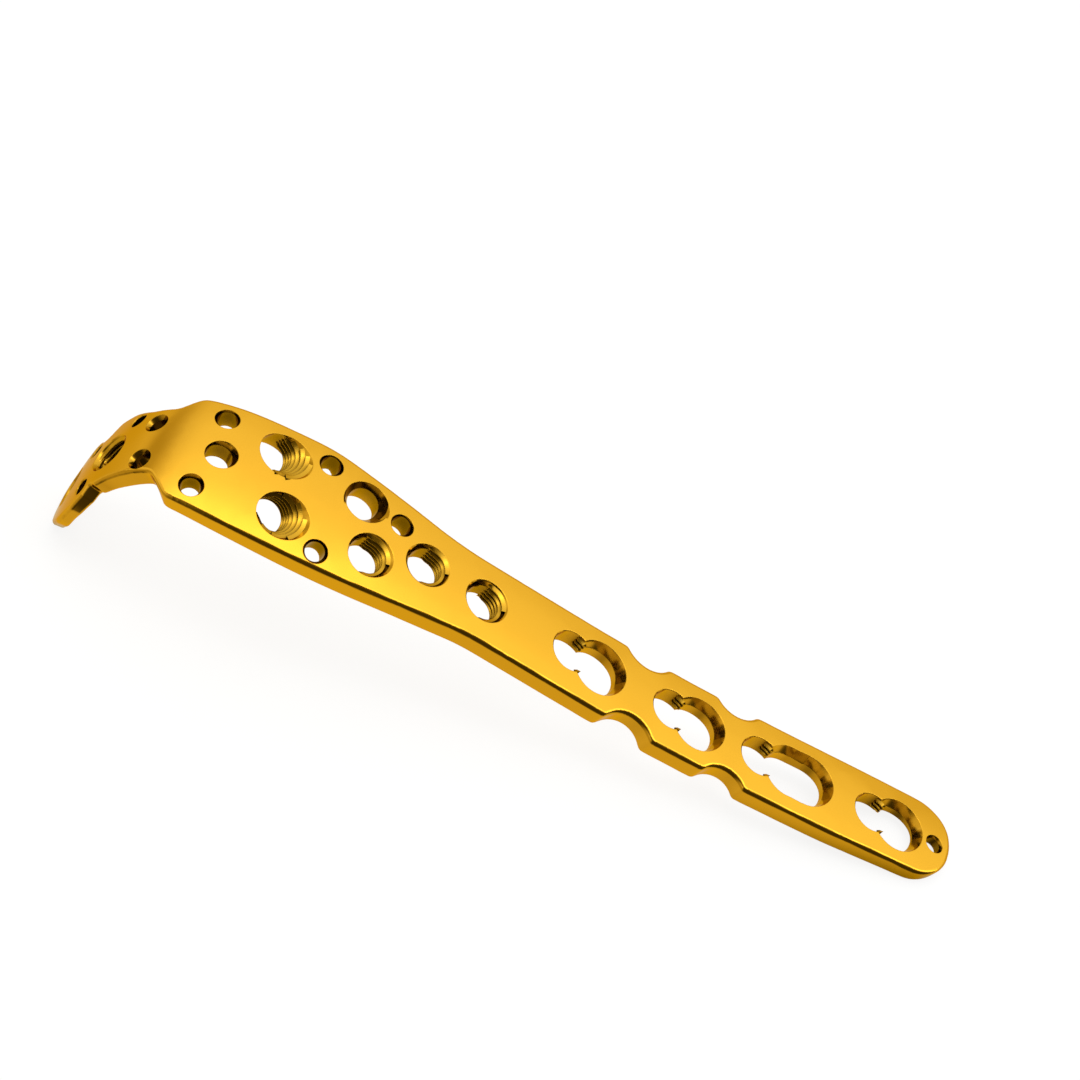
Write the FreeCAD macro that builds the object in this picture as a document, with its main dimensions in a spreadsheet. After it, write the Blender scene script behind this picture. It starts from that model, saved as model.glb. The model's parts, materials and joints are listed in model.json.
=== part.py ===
import FreeCAD, Part
import math
import os
import Sketcher

# Bone plate with a wide curved head and a tongue that is bent down over the end of the bone.
# A station is the distance along the middle line of the top face, in millimetres: zero lies in the
# straight shaft just behind the head, positive towards the round tip, negative towards the tongue.

os.makedirs("parts", exist_ok=True)
doc = FreeCAD.newDocument("bone_plate")
V = FreeCAD.Vector

# Driving sizes, millimetres and degrees, as the sheet keeps them
sizes = doc.addObject("Spreadsheet::Sheet", "sizes")
driving = [
    ("crown_radius", 34.8), ("bow_radius", 1850.0), ("twist_per_mm", -0.0763),
    ("locking_bore", 2.12), ("wide_bore", 2.15), ("lobe_bore", 2.35), ("compression_rim", 3.28),
    ("compression_bore", 2.8), ("compression_depth", 1.35), ("pin_bore", 1.05), ("small_pin_bore", 0.95),
    ("wire_bore", 0.95), ("plain_bore", 1.45), ("cone_bore", 1.75), ("outer_round", 0.45),
    ("inner_round", 0.3), ("drill_reach", 12.0),
]
for row, (alias, value) in enumerate(driving, start=1):
    sizes.set("A%d" % row, alias)
    sizes.set("B%d" % row, repr(value))
    sizes.setAlias("B%d" % row, alias)
doc.recompute()
size = {alias: float(sizes.get(alias)) for alias, value in driving}
crown_radius = size["crown_radius"]
plan_bow_radius = size["bow_radius"]
twist_per_mm = size["twist_per_mm"]

# Slope of the middle line at stations, degrees: positive where the plate drops towards the tip
slopes = [
    (-58.5, -104.0), (-50.0, -89.0), (-46.0, -79.5), (-42.0, -70.5), (-40.0, -64.8), (-38.0, -54.8),
    (-36.0, -40.7), (-34.0, -27.2), (-32.0, -20.6), (-30.0, -18.0), (-20.0, -8.9), (-10.0, -2.9),
    (0.0, 0.0), (10.0, 0.5), (20.0, -0.7), (30.0, -3.6), (40.0, -5.9), (50.0, -5.6), (65.0, -1.2),
]

# Blank sections: station, half width, edge thickness, half width where it is taken, underside radius
sections = [
    (-58.5, 5.8, 1.5, 5.0, 34.0), (-54.0, 6.2, 1.5, 5.0, 34.0), (-50.0, 6.4, 1.5, 5.0, 34.0),
    (-46.5, 7.0, 1.65, 5.0, 34.0), (-43.5, 7.2, 2.0, 5.0, 33.0), (-41.0, 7.2, 2.3, 5.0, 32.0),
    (-39.0, 7.2, 2.45, 5.0, 30.0), (-37.0, 7.5, 2.55, 5.5, 28.0), (-35.0, 8.5, 2.7, 6.5, 26.0),
    (-32.0, 9.4, 2.9, 7.0, 24.0), (-27.0, 9.6, 3.15, 7.3, 21.0), (-21.0, 9.6, 3.45, 7.4, 19.0),
    (-15.0, 9.2, 3.6, 7.0, 17.0), (-9.0, 8.2, 3.55, 6.2, 14.0), (-3.0, 7.2, 3.45, 5.2, 11.0),
    (4.0, 6.4, 3.35, 5.0, 9.5), (14.0, 6.2, 3.3, 5.0, 9.0), (26.0, 6.2, 3.3, 5.0, 9.0),
    (38.0, 6.2, 3.3, 5.0, 9.0), (50.0, 6.2, 3.1, 5.0, 9.0), (58.0, 6.2, 2.7, 5.0, 9.0),
    (65.0, 6.2, 2.2, 5.0, 9.0),
]


def slope_at(station):
    for (a, slope_a), (b, slope_b) in zip(slopes, slopes[1:]):
        if a <= station <= b:
            return slope_a + (slope_b - slope_a) * (station - a) / (b - a)
    raise ValueError("station off the plate")


def middle_line(station):
    """Point of the middle line, its slope, its plan direction and its roll."""
    steps = max(1, int(abs(station) / 0.05))
    step = station / steps
    x = 0.0
    z = 0.0
    for i in range(steps):
        slope = math.radians(slope_at((i + 0.5) * step))
        x += math.cos(slope) * step
        z -= math.sin(slope) * step
    bow = station / plan_bow_radius
    if station < 0:
        bow = -bow
    y = 0.5 * bow * abs(station) if station > 0 else 0.5 * station * station / plan_bow_radius
    roll = twist_per_mm * station
    if station < -32.0:
        roll = twist_per_mm * -32.0 * max(0.0, (station + 44.0) / 12.0)
    return V(x, y, z), slope_at(station), math.degrees(station / plan_bow_radius), roll


def frame_at(station):
    """Placement on the middle line: X along the plate, Y across it, Z out of the top face."""
    point, slope, bow, roll = middle_line(station)
    turn = FreeCAD.Rotation(V(0, 0, 1), bow)
    turn = turn.multiply(FreeCAD.Rotation(V(0, 1, 0), slope))
    turn = turn.multiply(FreeCAD.Rotation(V(1, 0, 0), roll))
    return FreeCAD.Placement(point, turn)


def top_frame(station, across):
    """Placement on the top face, a distance across from the middle line."""
    here = frame_at(station)
    lean = math.asin(across / crown_radius)
    drop = crown_radius * (1.0 - math.cos(lean))
    point = here.multVec(V(0, across, -drop))
    turn = here.Rotation.multiply(FreeCAD.Rotation(V(1, 0, 0), -math.degrees(lean)))
    return FreeCAD.Placement(point, turn)


def add(item, geometry):
    item.addGeometry(geometry, False)


def origin_plane(body, role):
    for feature in body.Origin.OriginFeatures:
        if feature.Role == role:
            return feature
    raise ValueError(role)


def sketch_on(body, name, role, placement=None):
    sketch = body.newObject("Sketcher::SketchObject", name)
    sketch.AttachmentSupport = [(origin_plane(body, role), "")]
    sketch.MapMode = "FlatFace"
    if placement is not None:
        doc.recompute()
        base = sketch.Placement.multiply(sketch.AttachmentOffset.inverse())
        sketch.AttachmentOffset = base.inverse().multiply(placement)
    return sketch


def arc3(a, b, c):
    return Part.Arc(V(a[0], a[1], 0), V(b[0], b[1], 0), V(c[0], c[1], 0))


def line(a, b):
    return Part.LineSegment(V(a[0], a[1], 0), V(b[0], b[1], 0))


def sagitta(half, radius):
    return radius - math.sqrt(radius * radius - half * half)


body = doc.addObject("PartDesign::Body", "strip")
body.Label = "crowned_strip"

# Blank: crowned strip that follows the bend of the plate
across_plane = FreeCAD.Rotation(V(0, 1, 0), V(0, 0, 1), V(1, 0, 0), "XYZ")
profiles = []
for index, (station, half, edge, taken, under) in enumerate(sections):
    here = frame_at(station)
    place = FreeCAD.Placement(here.Base, here.Rotation.multiply(across_plane))
    sketch = sketch_on(body, "section_%02d" % index, "XY_Plane", place)
    top = sagitta(half, crown_radius)
    middle = edge + sagitta(taken, crown_radius) - sagitta(taken, under)
    low = middle + sagitta(half, under) if under > half else middle
    left_top = (-half, -top)
    right_top = (half, -top)
    left_low = (-half, -low)
    right_low = (half, -low)
    add(sketch, arc3(right_top, (0, 0), left_top))
    add(sketch, line(right_top, right_low))
    add(sketch, arc3(right_low, (0, -middle), left_low))
    add(sketch, line(left_low, left_top))
    for joint in ((0, 1, 1, 1), (1, 2, 2, 1), (2, 2, 3, 1), (3, 2, 0, 2)):
        sketch.addConstraint(Sketcher.Constraint("Coincident", *joint))
    for part, end, spot in ((1, 1, right_top), (1, 2, right_low), (3, 1, left_low), (3, 2, left_top)):
        sketch.addConstraint(Sketcher.Constraint("DistanceX", -1, 1, part, end, spot[0]))
        sketch.addConstraint(Sketcher.Constraint("DistanceY", -1, 1, part, end, spot[1]))
    sketch.addConstraint(Sketcher.Constraint("Radius", 0, crown_radius))
    sketch.setExpression("Constraints[12]", "sizes.crown_radius")
    profiles.append(sketch)

blank = body.newObject("PartDesign::AdditiveLoft", "blank")
blank.Profile = profiles[0]
blank.Sections = profiles[1:]
blank.Ruled = False
doc.recompute()
if not blank.Shape.isValid():
    raise RuntimeError("the strip is not valid")


def rounded_outline(corners):
    """Points along a closed line with round corners: each corner is station, distance across, radius."""
    points = []
    count = len(corners)
    runs = []
    for i in range(count):
        before = V(corners[i - 1][0], corners[i - 1][1], 0)
        here = V(corners[i][0], corners[i][1], 0)
        after = V(corners[(i + 1) % count][0], corners[(i + 1) % count][1], 0)
        radius = corners[i][2]
        back = (before - here).normalize()
        forth = (after - here).normalize()
        half = 0.5 * math.acos(max(-1.0, min(1.0, back.dot(forth))))
        reach = radius / math.tan(half)
        centre = here + (back + forth).normalize() * (radius / math.sin(half))
        start = here + back * reach
        end = here + forth * reach
        turn = math.pi - 2.0 * half
        steps = max(2, int(math.ceil(max(turn / math.radians(9.0), radius * turn / 1.6))))
        first = start - centre
        side = 1.0 if back.cross(forth).z < 0 else -1.0
        arc = []
        for k in range(steps + 1):
            angle = side * turn * k / steps
            arc.append(centre + V(
                first.x * math.cos(angle) - first.y * math.sin(angle),
                first.x * math.sin(angle) + first.y * math.cos(angle), 0))
        runs.append(arc)
    for i in range(count):
        arc = runs[i]
        after = runs[(i + 1) % count][0]
        points += arc
        gap = after - arc[-1]
        along = V(corners[(i + 1) % count][0] - corners[i][0], corners[(i + 1) % count][1] - corners[i][1], 0)
        if gap.dot(along) < -1e-9:
            raise ValueError("corner radii overlap after corner %d" % i)
        if gap.Length < 0.08:
            points.pop()
            continue
        extra = int(gap.Length / 2.5)
        for k in range(1, extra + 1):
            points.append(arc[-1] + gap * (k / (extra + 1.0)))
    return points


def scallop(station, side, edge, bottom, radius):
    """Three corners of a round bite in the long edge of the shaft."""
    flank = math.radians(46.0)
    apex = bottom - radius * (1.0 / math.cos(flank) - 1.0)
    half = (edge - apex) / math.tan(flank)
    rows = [(station - half, edge, 0.8), (station, apex, radius), (station + half, edge, 0.8)]
    return [(a, side * b, r) for a, b, r in rows]


# Outline laid on the top face: upper edge, round tip, lower edge, then round the tongue
outline = [(-36.6, 5.45, 1.6), (-34.4, 7.6, 2.2), (-28.5, 8.08, 60.0), (-19.3, 7.98, 20.0), (-3.1, 4.72, 34.0)]
outline += scallop(21.6, 1, 5.0, 3.58, 3.3)
outline += scallop(33.4, 1, 5.1, 3.77, 3.1)
outline += [(58.7, 5.2, 5.0), (61.65, 3.45, 4.0), (62.12, 0.4, 6.5), (61.6, -2.65, 4.7), (58.95, -4.75, 4.5), (47.0, -5.1, 100.0)]
outline += scallop(33.3, -1, 5.06, 3.77, 3.1)[::-1]
outline += scallop(21.2, -1, 5.12, 3.45, 3.3)[::-1]
outline += [
    (1.0, -5.12, 26.0), (-19.7, -7.75, 85.0), (-33.9, -6.05, 2.0), (-36.3, -3.72, 1.5), (-42.5, -3.75, 8.0),
    (-44.3, -3.95, 0.7), (-45.0, -3.5, 0.6), (-45.9, -4.7, 0.8), (-48.0, -5.45, 2.0), (-51.6, -5.45, 3.0),
    (-56.3, -3.0, 2.6), (-56.3, 2.3, 2.4), (-51.6, 4.7, 3.0), (-48.3, 4.6, 1.2), (-47.0, 3.5, 0.8),
    (-45.7, 6.1, 1.2), (-42.9, 6.35, 5.0), (-39.6, 5.45, 4.0),
]

above = 1.2
below = -4.6
walk = rounded_outline(outline)
upper_points = [top_frame(p.x, p.y).multVec(V(0, 0, above)) for p in walk]
lower_points = [top_frame(p.x, p.y).multVec(V(0, 0, below)) for p in walk]
lengths = [0.0]
for a, b in zip(walk, walk[1:] + walk[:1]):
    lengths.append(lengths[-1] + (b - a).Length)
upper_curve = Part.BSplineCurve()
upper_curve.interpolate(Points=upper_points, Parameters=lengths, PeriodicFlag=True)
lower_curve = Part.BSplineCurve()
lower_curve.interpolate(Points=lower_points, Parameters=lengths, PeriodicFlag=True)
stretches = 40
breaks = [lengths[-1] * k / stretches for k in range(stretches + 1)]
walls = []
for start, end in zip(breaks, breaks[1:]):
    walls.append(Part.makeRuledSurface(upper_curve.toShape(start, end), lower_curve.toShape(start, end)))
pieces, made = blank.Shape.generalFuse(walls, 0.0)
probe = Part.Vertex(frame_at(6.0).multVec(V(0, 0, -1.0)))
core = min(pieces.Solids, key=lambda piece: piece.distToShape(probe)[0])


def face_at(shape, point):
    return min(shape.Faces, key=lambda face: face.distToShape(Part.Vertex(point))[0])


outer_face = face_at(blank.Shape, frame_at(10.0).Base)
inner_face = face_at(blank.Shape, frame_at(10.0).multVec(V(0, 0, -2.3)))


def border_edges(shape, face):
    found = []
    for edge in shape.Edges:
        middle = edge.valueAt(0.5 * (edge.FirstParameter + edge.LastParameter))
        if face.distToShape(Part.Vertex(middle))[0] < 1e-3:
            found.append(edge)
    return found


def edge_numbers(shape, face):
    wanted = border_edges(shape, face)
    return [i + 1 for i, edge in enumerate(shape.Edges) if any(edge.isSame(other) for other in wanted)]


# The trimmed strip is a Part::Feature: its side wall stands square to a face that is curved both ways
trimmed = doc.addObject("Part::Feature", "trimmed_strip")
trimmed.Shape = core
doc.recompute()

outer_round = doc.addObject("Part::Fillet", "outer_edge_round")
outer_round.Base = trimmed
outer_round.Edges = [(n, size["outer_round"], size["outer_round"]) for n in edge_numbers(trimmed.Shape, outer_face)]
doc.recompute()
inner_round = doc.addObject("Part::Fillet", "inner_edge_round")
inner_round.Base = outer_round
inner_round.Edges = [(n, size["inner_round"], size["inner_round"]) for n in edge_numbers(outer_round.Shape, inner_face)]
doc.recompute()

# Round holes: name, station, distance across, kind, and how far the bore leans off the top face's normal,
# in degrees, towards the round tip and towards the lower edge
holes = [
    ("head_pin_a", -31.1, 5.65, "pin", 0, 14), ("head_pin_b", -31.55, -3.99, "pin", 2, 0),
    ("head_plain", -30.15, 0.7, "plain", 9, 0), ("head_locking_a", -24.55, 4.23, "wide", 24, 14),
    ("head_locking_b", -22.3, -3.02, "wide", 21, 7), ("head_pin_c", -19.27, 5.67, "pin", 0, 18),
    ("head_pin_d", -17.32, -5.16, "pin", 0, 9), ("head_pin_e", -10.01, 2.86, "pin", 0, 14),
    ("head_cone", -14.45, 3.5, "cone", 3, 15), ("head_locking_c", -12.08, -2.62, "locking", 3, 0),
    ("head_locking_d", -5.88, -0.06, "locking", -2, 3), ("head_locking_e", 1.44, -0.24, "locking", 0, 0),
    ("shaft_locking_a", 12.43, 0.0, "lobe", 0, 0), ("shaft_locking_b", 25.5, 0.0, "lobe", 0, 0),
    ("shaft_locking_c", 36.92, 0.0, "lobe", 0, 0), ("shaft_locking_d", 51.61, 0.0, "lobe", 0, 0),
    ("tip_pin", 59.81, -0.1, "small_pin", 0, 0),
    ("tongue_pin_a", -38.2, 3.04, "pin", 0, 0), ("tongue_pin_b", -38.05, -2.15, "pin", 0, 0),
    ("tongue_wire_a", -41.6, 4.4, "wire", 0, 0), ("tongue_locking_a", -43.97, 0.42, "locking", 0, 0),
    ("tongue_wire_b", -46.9, -3.1, "wire", 0, 0), ("tongue_wire_c", -48.0, 2.6, "wire", 0, 0),
    ("tongue_locking_b", -52.0, -0.3, "locking", 0, 0),
]
# Each kind of hole: the cell with its bore, its radius at the top face and how deep it narrows
kinds = {
    "pin": ("pin_bore", 1.34, 0.55), "small_pin": ("small_pin_bore", 1.14, 0.4), "wire": ("wire_bore", 1.09, 0.14),
    "plain": ("plain_bore", 1.74, 0.6), "cone": ("cone_bore", 2.5, 1.5), "locking": ("locking_bore", 2.5, 0.75),
    "wide": ("wide_bore", 2.62, 0.95), "lobe": ("lobe_bore", 2.49, 0.14),
}
cutters = []


def cylinder(name, alias, place, depth=None):
    tool = doc.addObject("Part::Cylinder", name)
    tool.setExpression("Radius", "sizes." + alias)
    if depth is None:
        tool.setExpression("Height", "sizes.drill_reach")
        depth = size["drill_reach"] - 2.0
    else:
        tool.Height = depth + 2.0
    tool.Placement = place.multiply(FreeCAD.Placement(V(0, 0, -depth), FreeCAD.Rotation()))
    cutters.append(tool)
    return tool


def cone(name, place, depth, low_radius, top_radius, rise=None):
    """Cone from low_radius at that depth to top_radius at the top face, and on above it."""
    height = depth + (rise or depth)
    tool = doc.addObject("Part::Cone", name)
    tool.Height = height
    tool.Radius1 = low_radius
    tool.Radius2 = low_radius + (top_radius - low_radius) * height / depth
    tool.Placement = place.multiply(FreeCAD.Placement(V(0, 0, -depth), FreeCAD.Rotation()))
    cutters.append(tool)
    return tool


def hole_place(station, across, lean_along, lean_across):
    """Placement at a hole's mouth, with Z out along its bore."""
    turn = FreeCAD.Rotation(V(0, 1, 0), lean_along).multiply(FreeCAD.Rotation(V(1, 0, 0), lean_across))
    return top_frame(station, across).multiply(FreeCAD.Placement(V(0, 0, 0), turn))


for name, station, across, kind, lean_along, lean_across in holes:
    place = hole_place(station, across, lean_along, lean_across)
    alias, rim, depth = kinds[kind]
    if station < -36.0:
        cylinder(name, alias, place, 4.0)
    else:
        cylinder(name, alias, place)
    cone(name + "_rim", place, depth, size[alias], rim, 1.9 if kind == "wide" else None)
    if kind in ("locking", "cone"):
        cone(name + "_rim_break", place, 0.3, rim - 0.2, rim + 0.08)

# Compression ends of the combination holes: station of the middle and half length of the straight part
compression = [("compression_a", 15.96, 0.0), ("compression_b", 28.86, 0.0),
               ("compression_c", 41.8, 1.1), ("compression_d", 54.79, 0.0)]
ramp = FreeCAD.Rotation(V(0, 1, 0), 6.0)
for name, station, half in compression:
    ends = [-half, half] if half else [0.0]
    for k, shift in enumerate(ends):
        place = top_frame(station + shift, 0.0)
        cylinder("%s_bore_%d" % (name, k), "compression_bore", place)
        sloped = place.multiply(FreeCAD.Placement(V(0, 0, 0), ramp))
        cone("%s_seat_%d" % (name, k), sloped, size["compression_depth"], size["compression_bore"],
             size["compression_rim"])
    if half:
        place = top_frame(station, 0.0)
        slot = doc.addObject("Part::Box", name + "_slot")
        slot.Length = 2.0 * half
        slot.setExpression("Width", "2 * sizes.compression_bore")
        slot.setExpression("Height", "sizes.drill_reach")
        reach = size["drill_reach"] - 2.0
        slot.Placement = place.multiply(FreeCAD.Placement(V(-half, -size["compression_bore"], -reach), FreeCAD.Rotation()))
        cutters.append(slot)
        seat = doc.addObject("Part::Wedge", name + "_seat_sides")
        seat.Ymin = -size["compression_depth"]
        seat.Ymax = size["compression_depth"]
        seat.Xmin = -half
        seat.Xmax = half
        seat.X2min = -half
        seat.X2max = half
        wide = 2.0 * size["compression_rim"] - size["compression_bore"]
        seat.Zmin = -size["compression_bore"]
        seat.Zmax = size["compression_bore"]
        seat.Z2min = -wide
        seat.Z2max = wide
        stand = FreeCAD.Placement(V(0, 0, 0), FreeCAD.Rotation(V(1, 0, 0), 90.0))
        seat.Placement = place.multiply(FreeCAD.Placement(V(0, 0, 0), ramp)).multiply(stand)
        cutters.append(seat)

doc.recompute()
tools = doc.addObject("Part::MultiFuse", "hole_tools")
tools.Shapes = cutters
doc.recompute()
plate = doc.addObject("Part::Cut", "plate")
plate.Base = inner_round
plate.Tool = tools
plate.Label = "plate"
doc.recompute()

# Resting pose: the end of the tongue and both sides of the round tip touch the table
corners = plate.Shape.tessellate(0.05)[0]
tongue_foot = [p for p in corners if p.x < -36.0]
tip_left = [p for p in corners if p.x > 50.0 and p.y > 1.0]
tip_right = [p for p in corners if p.x > 50.0 and p.y < 1.0]
up = V(-0.25, 0.1, 0.96)
for settle in range(12):
    foot = min(tongue_foot, key=lambda p: p.dot(up))
    left = min(tip_left, key=lambda p: p.dot(up))
    right = min(tip_right, key=lambda p: p.dot(up))
    up = (right - foot).cross(left - foot).normalize()
along = (V(1, 0, 0) - up * up.x).normalize()
turn = FreeCAD.Rotation(along, up.cross(along), up, "ZXY").inverted()
points = [turn.multVec(p) for p in corners]
middle_x = 0.5 * (min(p.x for p in points) + max(p.x for p in points))
middle_y = 0.5 * (min(p.y for p in points) + max(p.y for p in points))
rest = FreeCAD.Placement(V(-middle_x, -middle_y, -min(p.z for p in points)), turn)
plate.Placement = rest
doc.recompute()

for item in doc.Objects:
    if "Invalid" in item.State or "Error" in item.State:
        raise RuntimeError("failed object: " + item.Label)
if plate.Shape.isNull() or not plate.Shape.isValid() or len(plate.Shape.Solids) != 1:
    raise RuntimeError("the plate is not one valid solid")
plate.Shape.exportStep("parts/plate.step")
print("resting placement", rest.Base, rest.Rotation.Q)
spots = holes + [(name, station, 0.0, "compression", 0, 0) for name, station, half in compression]
for name, station, across, kind, lean_along, lean_across in spots:
    place = rest.multiply(hole_place(station, across, lean_along, lean_across))
    axis = place.Rotation.multVec(V(0, 0, 1))
    print(name, kind, "at", [round(c, 3) for c in place.Base], "axis", [round(c, 4) for c in axis])
print("volume", round(plate.Shape.Volume, 1), "faces", len(plate.Shape.Faces), "box", plate.Shape.BoundBox)
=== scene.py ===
import json
import math
import bpy
from mathutils import Euler, Matrix, Vector


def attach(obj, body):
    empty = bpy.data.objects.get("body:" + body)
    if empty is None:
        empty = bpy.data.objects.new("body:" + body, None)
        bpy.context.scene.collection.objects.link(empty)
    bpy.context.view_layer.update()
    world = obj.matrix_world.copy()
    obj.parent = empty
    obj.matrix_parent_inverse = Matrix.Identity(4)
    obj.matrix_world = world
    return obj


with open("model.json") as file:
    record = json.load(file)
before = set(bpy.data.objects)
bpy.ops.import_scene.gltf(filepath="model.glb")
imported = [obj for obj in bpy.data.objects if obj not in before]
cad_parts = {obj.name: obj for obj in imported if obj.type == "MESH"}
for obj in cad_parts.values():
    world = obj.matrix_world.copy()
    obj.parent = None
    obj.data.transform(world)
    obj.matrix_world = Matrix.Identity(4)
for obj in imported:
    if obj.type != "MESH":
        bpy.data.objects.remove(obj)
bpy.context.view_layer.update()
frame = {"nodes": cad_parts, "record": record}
plate = frame["nodes"]["plate"]
mounts = {mount["name"]: mount for mount in frame["record"]["mounts"]}
MM = 0.001

# Ridge of a thread, millimetres: pitch, height, half width at the wall and at the crest, how far it sinks
# into the wall, and how far below the face its upper edge has to lie
PITCH = 0.55
RIDGE = 0.32
FLANK = 0.24
CREST = 0.03
SINK = 0.03
COVER = 0.13

# A row across the ridge every so many degrees, the least number of them, and the share of a span over which
# the ridge's ends rise
ROW_DEGREES = 5
LEAST_ROWS = 4
END_RISE = 1.0 / 12.0

# Mouths of the holes, millimetres: how much wider than the bore they are at the face, the depth where they
# have narrowed to the bore, and the depth where the thread starts, above the face's middle in leaning holes
MOUTHS = {
    "leaning": (0.47, 0.95, -1.3),
    "locking": (0.38, 0.75, 0.1),
    "combination": (0.14, 0.14, 0.2),
}

# Threaded holes that are mounts: name, how far the face lies above the mount's middle, kind of mouth, the
# face's normal where the hole leans away from it, depth of the thread's end, and its spans in degrees
LOCKING = [
    ("head_locking_1", 1.610, "leaning", (0.03, 0.04, 0.999), 3.4, [(-95, 88)]),
    ("head_locking_2", 1.575, "leaning", (0.10, -0.20, 0.975), 3.3, [(-165, 165)]),
    ("head_locking_3", 1.710, "locking", None, 3.0, [(-105, 112)]),
    ("head_locking_4", 1.654, "locking", None, 3.0, [(-105, 103)]),
    ("head_locking_5", 1.528, "locking", None, 3.0, [(-105, 96)]),
    ("tongue_locking_1", 1.257, "locking", None, 2.0, [(-170, 170)]),
    ("tongue_locking_2", 1.148, "locking", None, 1.7, [(-170, 170)]),
]

# Threaded ends of the combination holes, which aren't mounts: place in the face, axis, depth of the thread's
# end. Each end opens into the smooth end beside it, and its thread shows on the ears between the two
COMBINATION = [
    ((3.861, -0.895, 11.36), (0.2576, -0.0774, 0.9632), 2.4),
    ((16.545, -0.778, 8.21), (0.2151, -0.0605, 0.9747), 2.4),
    ((27.76, -0.658, 6.056), (0.1653, -0.0463, 0.9852), 2.4),
    ((42.271, -0.444, 3.757), (0.1657, -0.0274, 0.9858), 2.0),
]
COMBINATION_RADIUS = 2.35
EAR_SPANS = [(-82, -48), (48, 82)]


def threaded_holes():
    """Each threaded hole: place in the face, axis, the face's normal, radius, kind of mouth, end, spans."""
    for name, rise, kind, face, end, spans in LOCKING:
        mount = mounts[name]
        axis = Vector(mount["axis"]).normalized()
        place = Vector(mount["pos_m"]) / MM + axis * rise
        normal = Vector(face or axis).normalized()
        yield place, axis, normal, mount["dims"]["r_mm"], kind, end, spans
    for place, axis, end in COMBINATION:
        axis = Vector(axis).normalized()
        yield Vector(place), axis, axis, COMBINATION_RADIUS, "combination", end, EAR_SPANS


def thread_runs(place, axis, face, radius, kind, end, span):
    """Runs of a ridge that winds down the wall of a hole below its face. A run is a list of rows across the
    ridge, and a row has four points: low edge, both sides of the crest, high edge."""
    wider, narrow, top = MOUTHS[kind]
    across = axis.cross(Vector((1, 0, 0))).normalized()
    along = across.cross(axis)
    start, stop = span
    steps = max(LEAST_ROWS, int((stop - start) / ROW_DEGREES))
    runs = []
    for turn in range(int((end - top) / PITCH)):
        run = []
        for k in range(steps + 1):
            degrees = start + (stop - start) * k / steps
            angle = math.radians(degrees)
            out = along * math.cos(angle) + across * math.sin(angle)
            depth = top + PITCH * (turn + 0.5 + degrees / 360.0)
            depths = (depth + FLANK, depth, depth - FLANK)
            low, middle, high = [radius + wider * max(0.0, 1.0 - d / narrow) for d in depths]
            if depth - FLANK < high * out.dot(face) / axis.dot(face) + COVER:
                runs.append(run)
                run = []
                continue
            crest = middle - RIDGE * min(1.0, min(k, steps - k) / steps / END_RISE)
            centre = place - axis * depth
            run.append([
                centre + out * (low + SINK) - axis * FLANK,
                centre + out * crest - axis * CREST,
                centre + out * crest + axis * CREST,
                centre + out * (high + SINK) + axis * FLANK,
            ])
        runs.append(run)
    return [run for run in runs if len(run) > 1]


def thread_mesh(name):
    """One piece that holds the ridges of all threaded holes."""
    vertices = []
    faces = []
    for *shape, spans in threaded_holes():
        for span in spans:
            for run in thread_runs(*shape, span):
                base = len(vertices)
                wide = len(run[0])
                for row in run:
                    vertices += [point * MM for point in row]
                for first in range(base, base + wide * (len(run) - 1), wide):
                    for a in range(first, first + wide - 1):
                        faces.append((a, a + 1, a + wide + 1, a + wide))
    mesh = bpy.data.meshes.new(name)
    mesh.from_pydata(vertices, [], faces)
    mesh.update()
    for polygon in mesh.polygons:
        polygon.use_smooth = False
    piece = bpy.data.objects.new(name, mesh)
    bpy.context.scene.collection.objects.link(piece)
    return piece


threads = thread_mesh("locking_threads")


def add_node(tree, kind, **values):
    made = tree.nodes.new(kind)
    for name, value in values.items():
        setattr(made, name, value)
    return made


def colour_ramp(tree, value, stops):
    """Colour that follows the value through the stops, each a place from 0 to 1 and a colour."""
    ramp = add_node(tree, "ShaderNodeValToRGB")
    elements = ramp.color_ramp.elements
    elements.remove(elements[1])
    for k, (place, colour) in enumerate(stops):
        element = elements.new(place) if k else elements[0]
        element.position = place
        element.color = (*colour, 1.0)
    tree.links.new(value, ramp.inputs["Fac"])
    return ramp.outputs["Color"]


# Gold: its roughness, the tint of its grazing reflections, the round that its sharp edges show, in metres,
# how open a place with the full colour is, and the painted shade and open colours seen mirrored in another
# part of the metal
ROUGHNESS = 0.12
GRAZING_TINT = (1.0, 0.75, 0.4, 1.0)
EDGE_ROUND = 0.00012
FULLY_OPEN = 0.9
MIRRORED_COLOURS = ((0.12, 0.09, 0.03), (0.55, 0.44, 0.16))


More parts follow.
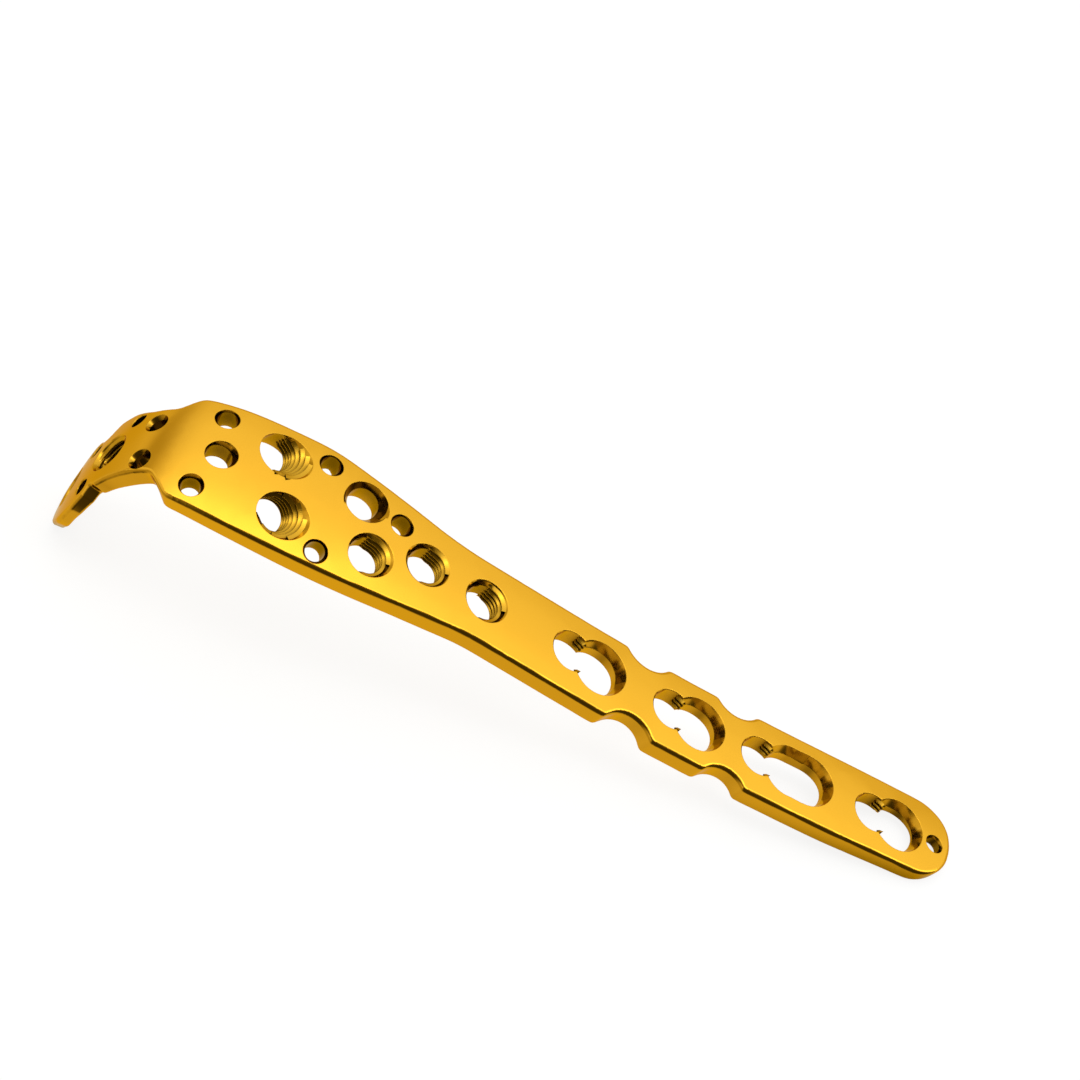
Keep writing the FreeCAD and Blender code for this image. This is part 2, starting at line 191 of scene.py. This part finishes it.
def gold(name, reach, closed, painted_shade_colour, open_colour):
    """Gold anodised metal with painted shade: its colour darkens where its surroundings close in within the
    reach, in metres, and below the share closed it has the painted shade colour. Seen in another part of the
    metal it is paler, so that the holes turn brown and not red."""
    material = bpy.data.materials.new(name)
    material.use_nodes = True
    tree = material.node_tree
    shader = tree.nodes["Principled BSDF"]
    shader.inputs["Metallic"].default_value = 1.0
    shader.inputs["Roughness"].default_value = ROUGHNESS
    shader.inputs["Specular Tint"].default_value = GRAZING_TINT
    # Painted shade: ambient occlusion within the reach darkens the base colour in holes and other close
    # places
    painted_shade_openness = add_node(tree, "ShaderNodeAmbientOcclusion", samples=6)
    painted_shade_openness.inputs["Distance"].default_value = reach
    path = add_node(tree, "ShaderNodeLightPath")
    chosen = add_node(tree, "ShaderNodeMix", data_type="RGBA")
    tree.links.new(path.outputs["Is Glossy Ray"], chosen.inputs["Factor"])
    # Each ramp runs from the painted shade colour where the surroundings are closed to the full colour where
    # they are open
    for socket, colours in (("A", (painted_shade_colour, open_colour)), ("B", MIRRORED_COLOURS)):
        colour = colour_ramp(tree, painted_shade_openness.outputs["AO"], zip((closed, FULLY_OPEN), colours))
        tree.links.new(colour, chosen.inputs[socket])
    tree.links.new(chosen.outputs["Result"], shader.inputs["Base Color"])
    edges = add_node(tree, "ShaderNodeBevel", samples=4)
    edges.inputs["Radius"].default_value = EDGE_ROUND
    tree.links.new(edges.outputs["Normal"], shader.inputs["Normal"])
    return material


# Plate's gold, with painted shade in its holes and where it comes close to the floor
polished = gold(
    "gold_anodised", reach=0.0045, closed=0.38,
    painted_shade_colour=(0.20, 0.105, 0.006), open_colour=(0.95, 0.50, 0.035),
)
# Threads' gold, with painted shade: darker than the plate's gold even where open, and nearly black in the
# grooves between the crests
threaded = gold(
    "gold_thread", reach=0.0008, closed=0.42,
    painted_shade_colour=(0.03, 0.014, 0.001), open_colour=(0.75, 0.41, 0.03),
)
for piece, metal in ((plate, polished), (threads, threaded)):
    piece.data.materials.clear()
    piece.data.materials.append(metal)
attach(threads, "root")

# Floor: half its side in metres, its grey and roughness, and the strength and share of the glow on it that
# only the camera sees
FLOOR_REACH = 3.0
PAPER = 0.85
PAPER_ROUGHNESS = 0.9
GLOW = 1.12
GLOW_SHARE = 0.78


def paper():
    """Pale matt paper that the camera sees as white, with a faint shadow under the plate."""
    material = bpy.data.materials.new("paper")
    material.use_nodes = True
    tree = material.node_tree
    shader = tree.nodes["Principled BSDF"]
    shader.inputs["Base Color"].default_value = (PAPER, PAPER, PAPER, 1.0)
    shader.inputs["Roughness"].default_value = PAPER_ROUGHNESS
    shader.inputs["Specular IOR Level"].default_value = 0.0
    glow = add_node(tree, "ShaderNodeEmission")
    glow.inputs["Strength"].default_value = GLOW
    path = add_node(tree, "ShaderNodeLightPath")
    share = add_node(tree, "ShaderNodeMath", operation="MULTIPLY")
    share.inputs[1].default_value = GLOW_SHARE
    mixed = add_node(tree, "ShaderNodeMixShader")
    tree.links.new(path.outputs["Is Camera Ray"], share.inputs[0])
    tree.links.new(share.outputs[0], mixed.inputs["Fac"])
    tree.links.new(shader.outputs[0], mixed.inputs[1])
    tree.links.new(glow.outputs[0], mixed.inputs[2])
    tree.links.new(mixed.outputs[0], tree.nodes["Material Output"].inputs["Surface"])
    return material


floor_mesh = bpy.data.meshes.new("floor")
corners = [(FLOOR_REACH * x, FLOOR_REACH * y, 0.0) for x, y in ((-1, -1), (1, -1), (1, 1), (-1, 1))]
floor_mesh.from_pydata(corners, [], [(0, 1, 2, 3)])
floor_mesh.materials.append(paper())
floor = bpy.data.objects.new("floor", floor_mesh)
bpy.context.scene.collection.objects.link(floor)
# The metal mirrors the studio's pale table instead of this floor
floor.visible_glossy = False

# Light round the plate's long way, as angle and brightness: -1 and 1 are level behind, -0.5 straight down,
# 0 level in front, 0.5 straight up. The table below is pale, the front dark and the ceiling bright
MIDDLE_LIGHT = [
    (-1.0, 0.64), (-0.7, 0.68), (-0.5, 0.72), (-0.44, 0.67), (-0.35, 0.60), (-0.30, 0.48), (-0.24, 0.14),
    (-0.18, 0.05), (0.0, 0.04), (0.25, 0.05), (0.37, 0.15), (0.44, 1.4), (0.49, 2.7), (0.53, 1.9),
    (0.58, 1.36), (0.63, 1.13), (0.68, 1.02), (0.73, 0.97), (0.78, 0.90), (0.83, 0.74), (0.88, 0.62),
    (1.0, 0.6),
]
# The same past the tongue's end, where the light is softer, and the X directions between which they blend
TONGUE_LIGHT = [
    (-1.0, 0.68), (-0.85, 0.60), (-0.6, 0.68), (-0.4, 0.64), (-0.30, 0.52), (-0.12, 0.44), (0.03, 0.38),
    (0.08, 0.42), (0.14, 0.7), (0.3, 0.7), (0.55, 0.85), (0.68, 0.6), (0.75, 0.46), (0.85, 0.46),
    (0.93, 0.66), (1.0, 0.7),
]
TONGUE_BLEND = (-0.75, -0.22)

# Light of the plain level is white. From there down to the warm level it loses these shares of each colour
PLAIN_LEVEL = 0.95
WARM_LEVEL = 0.5
WARM_LOSS = (0.0, 0.13, 0.6)


def light_ring(tree, turn, levels):
    """Light of the levels, by the turn from 0 to 1. Its dim parts are warmer."""
    stops = []
    for angle, level in levels:
        warm = max(0.0, min(1.0, (PLAIN_LEVEL - level) / (PLAIN_LEVEL - WARM_LEVEL)))
        stops.append((0.5 * (angle + 1.0), [level * (1.0 - loss * warm) for loss in WARM_LOSS]))
    return colour_ramp(tree, turn, stops)


def map_range(tree, value, low, high, **values):
    scaled = add_node(tree, "ShaderNodeMapRange", **values)
    scaled.inputs["From Min"].default_value = low
    scaled.inputs["From Max"].default_value = high
    tree.links.new(value, scaled.inputs["Value"])
    return scaled.outputs["Result"]


def studio():
    """Surroundings that light the plate by the angle round its long way."""
    world = bpy.data.worlds.new("studio")
    world.use_nodes = True
    tree = world.node_tree
    tree.nodes.clear()
    coordinates = add_node(tree, "ShaderNodeTexCoord")
    separate = add_node(tree, "ShaderNodeSeparateXYZ")
    front = add_node(tree, "ShaderNodeMath", operation="MULTIPLY")
    front.inputs[1].default_value = -1.0
    angle = add_node(tree, "ShaderNodeMath", operation="ARCTAN2")
    tree.links.new(coordinates.outputs["Generated"], separate.inputs[0])
    tree.links.new(separate.outputs["Y"], front.inputs[0])
    tree.links.new(separate.outputs["Z"], angle.inputs[0])
    tree.links.new(front.outputs[0], angle.inputs[1])
    turn = map_range(tree, angle.outputs[0], -math.pi, math.pi)
    both = add_node(tree, "ShaderNodeMix", data_type="RGBA")
    blend = map_range(tree, separate.outputs["X"], *TONGUE_BLEND, interpolation_type="SMOOTHSTEP")
    tree.links.new(blend, both.inputs["Factor"])
    tree.links.new(light_ring(tree, turn, TONGUE_LIGHT), both.inputs["A"])
    tree.links.new(light_ring(tree, turn, MIDDLE_LIGHT), both.inputs["B"])
    background = add_node(tree, "ShaderNodeBackground")
    output = add_node(tree, "ShaderNodeOutputWorld")
    tree.links.new(both.outputs["Result"], background.inputs["Color"])
    tree.links.new(background.outputs[0], output.inputs["Surface"])
    return world


bpy.context.scene.world = studio()

# Camera at the photograph's viewing angle: place in millimetres, turn round X, Y and Z in degrees, width of
# the sensor in millimetres, and the focal length and the photograph's side in pixels
CAMERA_PLACE = (-29.186, -160.810, 191.966)
CAMERA_TURN = (40.7226, -18.7607, 11.7912)
SENSOR = 36.0
FOCAL_PIXELS = 2300.0
PHOTO_PIXELS = 1080.0


def photo_camera():
    data = bpy.data.cameras.new("camera")
    data.sensor_width = SENSOR
    data.lens = SENSOR * FOCAL_PIXELS / PHOTO_PIXELS
    data.clip_start = 0.01
    data.clip_end = 20.0
    made = bpy.data.objects.new("camera", data)
    turned = Euler([math.radians(angle) for angle in CAMERA_TURN]).to_matrix().to_4x4()
    made.matrix_world = Matrix.Translation(Vector(CAMERA_PLACE) * MM) @ turned
    bpy.context.scene.collection.objects.link(made)
    return made


bpy.context.scene.camera = photo_camera()
bpy.context.scene.view_settings.view_transform = "Standard"
